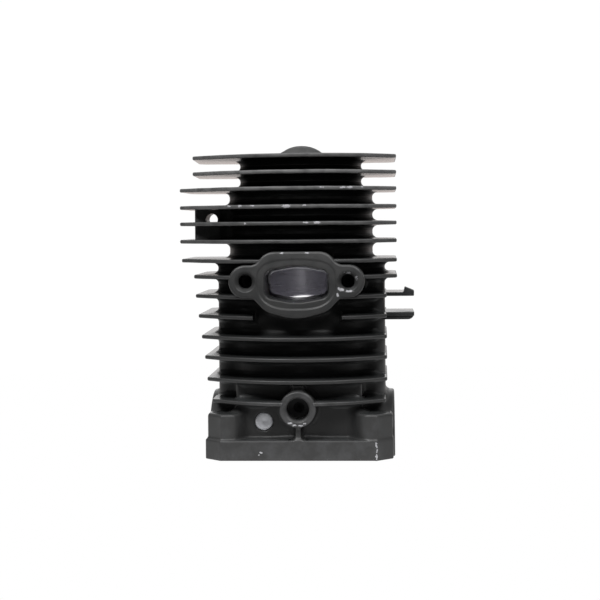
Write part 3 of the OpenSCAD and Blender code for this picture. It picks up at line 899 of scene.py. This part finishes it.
def region(node, x, y, z):
    """The part of space that a node of the casting takes, a little wider than the node itself."""
    under_fin = fin_middle(2) - FIN_T / 2
    belt_bottom = corners_of("port_belt")[0][2]
    if node == "exhaust_flange":
        return np.maximum(exhaust_body(x, y, z) - SKIRT, beyond_barrel(x, y))
    if node == "intake_flange":
        return np.maximum(intake_body(x, y, z) - SKIRT, beyond_barrel(x, y))
    if node == "impulse_boss":
        return impulse_region(x, y, z)
    if node == "bracket_web":
        return np.maximum(web_body(x, y, z) - SKIRT, beyond_barrel(x, y, UPPER_R))
    if node == "spark_plug_boss":
        return np.maximum(plug_region(x, y, z), under_fin - z)
    if node == "transfer_duct_left":
        return np.maximum(duct_region(x, y, z), x)
    if node == "transfer_duct_right":
        return np.maximum(duct_region(x, y, z), -x)
    if node == "upper_barrel":
        return slab(z, belt_top() - OVERLAP, under_fin)
    if node == "head":
        return np.maximum(slab(z, under_fin - OVERLAP, FAR), -plug_region(x, y, z) - OVERLAP)
    if node == "port_belt":
        return barrel_region(x, y, z, belt_bottom, belt_top())
    clear_of_boss = -impulse_region(x, y, z) - OVERLAP
    if node == "crankcase_base":
        return np.maximum(slab(z, -1, BORE_BOTTOM + OVERLAP), clear_of_boss)
    neck = rectangle(x, y, NECK_X + 1.5, NECK_Y + 1.5)
    neck = np.maximum(neck, slab(z, BORE_BOTTOM - OVERLAP, NECK_TOP + 1))
    skirt = np.minimum(barrel_region(x, y, z, BORE_BOTTOM, belt_bottom), neck)
    return np.maximum(skirt, clear_of_boss)


def make_region(node):
    """One region of the casting as a mesh."""

    def field(x, y, z):
        return np.maximum(casting(x, y, z), region(node, x, y, z))

    low, high = corners_of(node)
    grow = np.array((2.0, 2.0, 1.2))
    made = from_field(f"{node}_cast", field, low - grow, high + grow, STEPS[node])
    mark_edges(made, convexity(made, casting))
    return made


# ---------------------------------------------------------------- the two separate pieces
def make_lining():
    """The hard lining, with the bare collar that shows round the exhaust window."""

    def field(x, y, z):
        middle_r, half_t = (BORE_R + LINING_R) / 2, (LINING_R - BORE_R) / 2
        tube = extrude(np.abs(np.hypot(x, y) - middle_r) - half_t, z, BORE_BOTTOM, BORE_TOP)
        window = polygon(x, z, window_outline(WINDOW_W, *WINDOW_Z))
        collar = np.maximum(window - COLLAR_T - 0.1, slab(y, COLLAR_Y, -BORE_R + 3.4))
        collar = np.maximum(collar, BORE_R - np.hypot(x, y))
        collar = np.maximum(collar, COLLAR_BOTTOM - z)
        wall = cut(np.minimum(tube, collar), np.maximum(window, y), 0.4)
        intake = np.maximum(polygon(x, z, window_outline(INTAKE_WINDOW_W, *INTAKE_WINDOW_Z)), -y)
        return cut(cut(wall, intake), transfer_void(x, y, z))

    low, high = corners_of("bore_lining")
    return from_field("bore_lining_metal", field, low - 1.5, high + 1.0, LINING_STEP)


def make_plug():
    """The blanking plug: a pressed disc with a dimple, turned about its own axis."""
    wall_r = BLANK_R - 0.02
    profile = [
        (0.0, -0.2), (0.4, -0.18), (0.9, -0.05), (1.4, 0.0), (BLANK_R - 0.5, 0.0),
        (BLANK_R - 0.15, -0.12), (wall_r, -0.5), (wall_r, -(BLANK_FACE_Y - BLANK_FLOOR_Y)),
    ]
    n = 72
    vertices = [(BLANK_X, -BLANK_FACE_Y - profile[0][1], BLANK_Z)]
    for r, depth in profile[1:]:
        vertices += [(BLANK_X + u, -BLANK_FACE_Y - depth, BLANK_Z + v) for u, v in ring(r, n)]
    faces = [(0, 1 + k, 1 + (k + 1) % n) for k in range(n)]
    for m in range(len(profile) - 2):
        a = 1 + m * n
        faces += [(a + k, a + n + k, a + n + (k + 1) % n, a + (k + 1) % n) for k in range(n)]
    last = 1 + (len(profile) - 2) * n
    faces.append(tuple(last + k for k in range(n)))
    return fix_normals(new_object("blanking_plug_disc", vertices, faces))


# ---------------------------------------------------------------- materials
def new_material(name):
    """A material, its node tree and its shader."""
    made = bpy.data.materials.new(name)
    made.use_nodes = True
    return made, made.node_tree, made.node_tree.nodes["Principled BSDF"]


def coordinates(tree, kind):
    return tree.nodes.new("ShaderNodeTexCoord").outputs[kind]


def apart_node(tree, vector):
    """The x, y and z of a vector, by name."""
    made = tree.nodes.new("ShaderNodeSeparateXYZ")
    tree.links.new(vector, made.inputs["Vector"])
    return made.outputs


def mapping_node(tree, place, scale, lean=0.0):
    """A place turned about y and scaled along each axis."""
    made = tree.nodes.new("ShaderNodeMapping")
    made.inputs["Rotation"].default_value = (0, math.radians(lean), 0)
    made.inputs["Scale"].default_value = scale
    tree.links.new(place, made.inputs["Vector"])
    return made.outputs["Vector"]


def noise_node(tree, place, scale, detail, roughness):
    made = tree.nodes.new("ShaderNodeTexNoise")
    made.inputs["Scale"].default_value = scale
    made.inputs["Detail"].default_value = detail
    made.inputs["Roughness"].default_value = roughness
    tree.links.new(place, made.inputs["Vector"])
    return made.outputs["Fac"]


def ramp_node(tree, value, stops):
    """A colour that follows a value. Each stop is a value with a grey or a colour."""
    made = tree.nodes.new("ShaderNodeValToRGB")
    elements = made.color_ramp.elements
    stops = [(at, (shade,) * 3 if isinstance(shade, float) else shade) for at, shade in stops]
    for element, (at, shade) in zip((elements[0], elements[1]), (stops[0], stops[-1])):
        element.position = at
        element.color = (*shade, 1)
    for at, shade in stops[1:-1]:
        elements.new(at).color = (*shade, 1)
    tree.links.new(value, made.inputs["Fac"])
    return made.outputs["Color"]


def math_node(tree, operation, a, b, clamp=False):
    made = tree.nodes.new("ShaderNodeMath")
    made.operation = operation
    made.use_clamp = clamp
    for k, v in enumerate((a, b)):
        if isinstance(v, (int, float)):
            made.inputs[k].default_value = v
        else:
            tree.links.new(v, made.inputs[k])
    return made.outputs["Value"]


def vector_node(tree, operation, a, b=None):
    made = tree.nodes.new("ShaderNodeVectorMath")
    made.operation = operation
    tree.links.new(a, made.inputs[0])
    if b is not None:
        made.inputs[1].default_value = b
    return made.outputs["Value" if operation == "LENGTH" else "Vector"]


def mix_node(tree, factor, a, b):
    made = tree.nodes.new("ShaderNodeMix")
    made.data_type = "RGBA"
    tree.links.new(factor, made.inputs["Factor"])
    for name, v in (("A", a), ("B", b)):
        socket = next(k for k in made.inputs if k.name == name and k.type == "RGBA")
        if isinstance(v, tuple):
            socket.default_value = (*v, 1)
        else:
            tree.links.new(v, socket)
    return next(k for k in made.outputs if k.type == "RGBA")


def bump_node(tree, height, distance, strength, after=None):
    made = tree.nodes.new("ShaderNodeBump")
    made.inputs["Strength"].default_value = strength
    made.inputs["Distance"].default_value = distance
    tree.links.new(height, made.inputs["Height"])
    if after is not None:
        tree.links.new(after, made.inputs["Normal"])
    return made.outputs["Normal"]


def chipped(tree, place):
    """1 where the paint is knocked off, with ragged outlines, and 0 elsewhere."""
    near = None
    for x, y, z, reach_x, reach_z in CHIPS:
        gap = vector_node(tree, "SUBTRACT", place, (x * MM, y * MM, z * MM))
        scale = (1 / (reach_x * MM), 1 / (max(reach_x, reach_z) * MM), 1 / (reach_z * MM))
        away = vector_node(tree, "LENGTH", vector_node(tree, "MULTIPLY", gap, scale))
        spot = math_node(tree, "SUBTRACT", 1.0, away, True)
        near = spot if near is None else math_node(tree, "MAXIMUM", near, spot)
    speck = noise_node(tree, place, 1500.0, 2.0, 0.6)
    chip = math_node(tree, "ADD", math_node(tree, "MULTIPLY", near, 0.5), speck)
    chip = ramp_node(tree, chip, [(0.74, 0.0), (0.78, 1.0)])
    return math_node(tree, "MULTIPLY", chip, math_node(tree, "GREATER_THAN", near, 0.02))


def painted_hole_shade(tree, place, forward):
    """For each deep hole, 1 inside it, where the painted shade goes, and 0 elsewhere."""
    flat = vector_node(tree, "MULTIPLY", place, (1.0, 0.0, 1.0))
    for x, z, r, depth in PAINTED_SHADE_HOLES:
        gap = vector_node(tree, "SUBTRACT", flat, (x * MM, 0.0, z * MM))
        away = vector_node(tree, "LENGTH", gap)
        within = ramp_node(tree, away, [((r - 0.1) * MM, 1.0), ((r + 0.1) * MM, 0.0)])
        behind = ramp_node(tree, forward, [((depth - 0.5) * MM, 1.0), (depth * MM, 0.0)])
        yield math_node(tree, "MULTIPLY", within, behind)


def black_paint():
    """Satin black paint over a die casting: cast grain, worn grey edges with a painted highlight, a few
    chips and painted shade in the deep holes.
    """
    made, tree, shader = new_material("black_casting_paint")
    place = coordinates(tree, "Object")
    apart = apart_node(tree, place)
    grain = noise_node(tree, place, 1400.0, 4.0, 0.6)
    lumps = noise_node(tree, place, 260.0, 3.0, 0.55)
    cloud = noise_node(tree, place, 55.0, 3.0, 0.5)
    colour = ramp_node(tree, cloud, [(0.3, PAINT[0]), (0.7, PAINT[1])])

    # the front of the crankcase half is painted lighter, with fine lines across the plate
    forward = math_node(tree, "MULTIPLY", apart["Y"], -1.0)
    front = ramp_node(tree, forward, [(0.0276, 0.0), (0.0284, 1.0)])
    below = ramp_node(tree, apart["Z"], [(0.021, 1.0), (0.0225, 0.0)])
    lower_front = math_node(tree, "MULTIPLY", front, below)
    colour = mix_node(tree, lower_front, colour, LOWER_FRONT_PAINT)
    lines = noise_node(tree, mapping_node(tree, place, (0.04, 0.04, 1.0)), 2600.0, 2.0, 0.6)
    plate = ramp_node(tree, apart["Z"], [(0.0056, 1.0), (0.006, 0.0)])
    lines = math_node(tree, "MULTIPLY", lines, math_node(tree, "MULTIPLY", plate, front))

    # edges are worn, and lighter towards the top fin as a painted highlight of the light from above
    edge = tree.nodes.new("ShaderNodeAttribute")
    edge.attribute_name = "edge"
    rub = ramp_node(tree, lumps, [(0.25, 0.35), (0.6, 1.0)])
    worn = math_node(tree, "MULTIPLY", edge.outputs["Fac"], rub, True)
    edge_wear_and_highlight = ramp_node(tree, apart["Z"], [(0.055, 0.036), (0.0968, 0.17), (0.0978, 0.045)])
    colour = mix_node(tree, worn, colour, edge_wear_and_highlight)
    colour = mix_node(tree, chipped(tree, place), colour, BARE_CASTING)

    # the deep holes are painted near black as painted shade, and are made fully rough
    dull = None
    for deep in painted_hole_shade(tree, place, forward):
        colour = mix_node(tree, deep, colour, HOLE_PAINTED_SHADE)
        dull = deep if dull is None else math_node(tree, "MAXIMUM", dull, deep)
    tree.links.new(colour, shader.inputs["Base Color"])

    # level faces are glossier, and have no bumps
    normal = tree.nodes.new("ShaderNodeNewGeometry").outputs["Normal"]
    level = math_node(tree, "ABSOLUTE", apart_node(tree, normal)["Z"], 0.0)
    smooth = ramp_node(tree, level, [(0.9, 0.0), (0.99, 1.0)])
    rough = ramp_node(tree, lumps, [(0.3, 0.38), (0.7, 0.5)])
    rough = mix_node(tree, smooth, rough, (0.2, 0.2, 0.2))
    tree.links.new(math_node(tree, "MAXIMUM", rough, dull), shader.inputs["Roughness"])
    shader.inputs["Specular IOR Level"].default_value = 0.4
    coarse = bump_node(tree, lumps, 0.00005, 0.4)
    scored = bump_node(tree, lines, 0.00014, 0.8, coarse)
    fine = bump_node(tree, grain, 0.000025, 0.4, scored)
    rest = tree.nodes.new("ShaderNodeMix")
    rest.data_type = "VECTOR"
    tree.links.new(smooth, rest.inputs["Factor"])
    vectors = [k for k in rest.inputs if k.type == "VECTOR"]
    tree.links.new(fine, vectors[-2])
    tree.links.new(normal, vectors[-1])
    mixed = next(k for k in rest.outputs if k.type == "VECTOR")
    tree.links.new(mixed, shader.inputs["Normal"])
    return made


def honed_metal():
    """The lining: fine crossing hone marks on satin metal."""
    made, tree, shader = new_material("honed_lining")
    place = coordinates(tree, "Object")
    marks = []
    for lean in (28, -28):
        turned = mapping_node(tree, place, (0.08, 0.08, 3.0), lean)
        marks.append(noise_node(tree, turned, 1800.0, 3.0, 0.7))
    both = math_node(tree, "ADD", *marks)
    cloud = noise_node(tree, place, 90.0, 3.0, 0.5)
    colour = ramp_node(tree, cloud, [(0.3, LINING_METAL[0]), (0.7, LINING_METAL[1])])
    tree.links.new(colour, shader.inputs["Base Color"])
    shader.inputs["Metallic"].default_value = 1.0
    tree.links.new(ramp_node(tree, both, [(0.8, 0.26), (1.2, 0.4)]), shader.inputs["Roughness"])
    tree.links.new(bump_node(tree, both, 0.00002, 0.5), shader.inputs["Normal"])
    return made


def bright_metal():
    """The blanking plug: scuffed bright metal."""
    made, tree, shader = new_material("bright_plug")
    scuff = noise_node(tree, coordinates(tree, "Object"), 700.0, 4.0, 0.6)
    colour = ramp_node(tree, scuff, [(0.3, PLUG_METAL[0]), (0.7, PLUG_METAL[1])])
    tree.links.new(colour, shader.inputs["Base Color"])
    shader.inputs["Metallic"].default_value = 0.15
    tree.links.new(ramp_node(tree, scuff, [(0.3, 0.28), (0.7, 0.42)]), shader.inputs["Roughness"])
    tree.links.new(bump_node(tree, scuff, 0.00002, 0.5), shader.inputs["Normal"])
    return made


def place_piece(piece, node, material):
    piece.data.materials.clear()
    piece.data.materials.append(material)
    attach(piece, "root")
    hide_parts(node)


# ---------------------------------------------------------------- stage
def make_camera():
    """The view from the front, a little to the right and level with the fifth fin.

    The lens is shifted down, so that upright lines stay upright.
    """
    distance, height = 500.0, 74.1
    side, across, roll = math.radians(3.0), math.radians(0.07), math.radians(-0.5)
    data = bpy.data.cameras.new("camera")
    data.lens = 90.5
    data.sensor_width = 36.0
    data.shift_x, data.shift_y = 0.0011, -0.1273
    data.clip_start = 0.01
    camera = bpy.data.objects.new("camera", data)
    bpy.context.scene.collection.objects.link(camera)
    place = Vector((distance * math.sin(side), -distance * math.cos(side), height))
    camera.location = place * MM
    turn = Matrix.Rotation(side + across, 4, "Z") @ Matrix.Rotation(math.radians(90), 4, "X")
    camera.rotation_euler = (turn @ Matrix.Rotation(roll, 4, "Z")).to_euler()
    bpy.context.scene.camera = camera


def make_light(name, location, target, size, power):
    data = bpy.data.lights.new(name, "AREA")
    data.shape = "RECTANGLE"
    data.size, data.size_y = size
    data.energy = power
    lamp = bpy.data.objects.new(name, data)
    bpy.context.scene.collection.objects.link(lamp)
    lamp.location = location
    along = Vector(target) - Vector(location)
    lamp.rotation_euler = along.to_track_quat("-Z", "Y").to_euler()


def camera_rays(tree):
    return tree.nodes.new("ShaderNodeLightPath").outputs["Is Camera Ray"]


def white_to_camera(tree, light):
    """Strength of an emitter that looks white, but lights the object by an amount of its own."""
    return math_node(tree, "MAXIMUM", camera_rays(tree), light)


def make_world():
    """A bright ceiling, a bright backdrop behind the object and a dark room on the camera's side."""
    world = bpy.data.worlds.new("studio")
    world.use_nodes = True
    tree = world.node_tree
    background = tree.nodes["Background"]
    apart = apart_node(tree, coordinates(tree, "Generated"))
    ceiling = ramp_node(tree, apart["Z"], [(0.42, 0.0), (0.75, 1.0)])
    ceiling = math_node(tree, "MULTIPLY", ceiling, CEILING)
    backdrop = ramp_node(tree, apart["Y"], [(0.62, 0.0), (0.9, 1.0)])
    backdrop = math_node(tree, "MULTIPLY", backdrop, BACKDROP)
    light = math_node(tree, "ADD", math_node(tree, "MAXIMUM", ceiling, backdrop), ROOM)
    tree.links.new(white_to_camera(tree, light), background.inputs["Strength"])
    height = math_node(tree, "ADD", apart["Z"], 0.5)
    tint = ramp_node(tree, height, [(0.45, WARM_WHITE), (0.6, WHITE)])
    tint = mix_node(tree, camera_rays(tree), tint, WHITE)
    tree.links.new(tint, background.inputs["Color"])
    bpy.context.scene.world = world


def make_floor():
    """A white disc that glows near the object and behind it."""
    disc = [(u, v, 0) for u, v in ring(FLOOR_R, 96)]
    floor = new_object("floor", disc, [tuple(range(len(disc)))])
    floor.location.z = -0.0002
    white, tree, shader = new_material("white_floor")
    apart = apart_node(tree, coordinates(tree, "Object"))
    back = math_node(tree, "ADD", apart["Y"], 0.5)
    shade = ramp_node(tree, back, [(0.39, 0.0), (0.44, 1.0)])
    shade = math_node(tree, "MULTIPLY", shade, FLOOR_GLOW)
    glow = tree.nodes.new("ShaderNodeEmission")
    tree.links.new(white_to_camera(tree, shade), glow.inputs["Strength"])
    output = tree.nodes["Material Output"]
    tree.links.new(glow.outputs["Emission"], output.inputs["Surface"])
    tree.nodes.remove(shader)
    floor.data.materials.append(white)


def make_stage():
    make_world()
    make_floor()
    centre = (0, 0, 0.05)
    make_light("key", (-0.3, -0.5, 0.65), centre, (0.35, 0.3), 5.0)
    make_light("fill", (0.35, -0.45, 0.6), centre, (0.35, 0.3), 3.0)
    make_light("front", (0.03, -0.6, 0.03), centre, (0.08, 0.16), 0.035)
    bpy.context.scene.view_settings.view_transform = "Standard"


# ---------------------------------------------------------------- making it all
make_camera()
make_stage()
paint = black_paint()
for node in STEPS:
    place_piece(make_region(node), node, paint)
for i in range(FIN_COUNT):
    place_piece(make_fin(i), fin_node(i), paint)
place_piece(make_lining(), "bore_lining", honed_metal())
place_piece(make_plug(), "blanking_plug", bright_metal())
